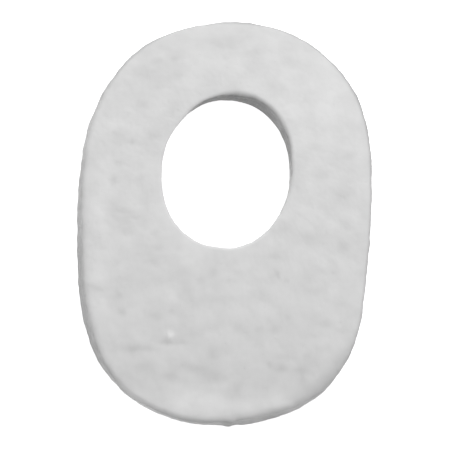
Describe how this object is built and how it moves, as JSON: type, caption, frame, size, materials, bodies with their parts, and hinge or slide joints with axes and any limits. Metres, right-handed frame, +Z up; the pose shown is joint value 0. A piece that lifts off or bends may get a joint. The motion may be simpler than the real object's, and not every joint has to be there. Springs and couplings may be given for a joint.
{
  "type": "felt foot pad",
  "caption": "Flat rounded cushion of thick white felt with an oval hole near one end, stuck round a sore spot on the foot to keep the shoe off it.",
  "frame": {"origin": "middle of the pad's box, on its underside", "axes": "+Y along the pad's length towards the end with the hole, +Z up through the felt from the underside"},
  "size_m": [0.046, 0.064, 0.0032],
  "materials": {
    "white_felt": "undyed white felt, matt, with a short soft nap and a cut edge that shows the fibres"
  },
  "bodies": {
    "root": {"felt_pad": "white_felt"}
  },
  "joints": []
}
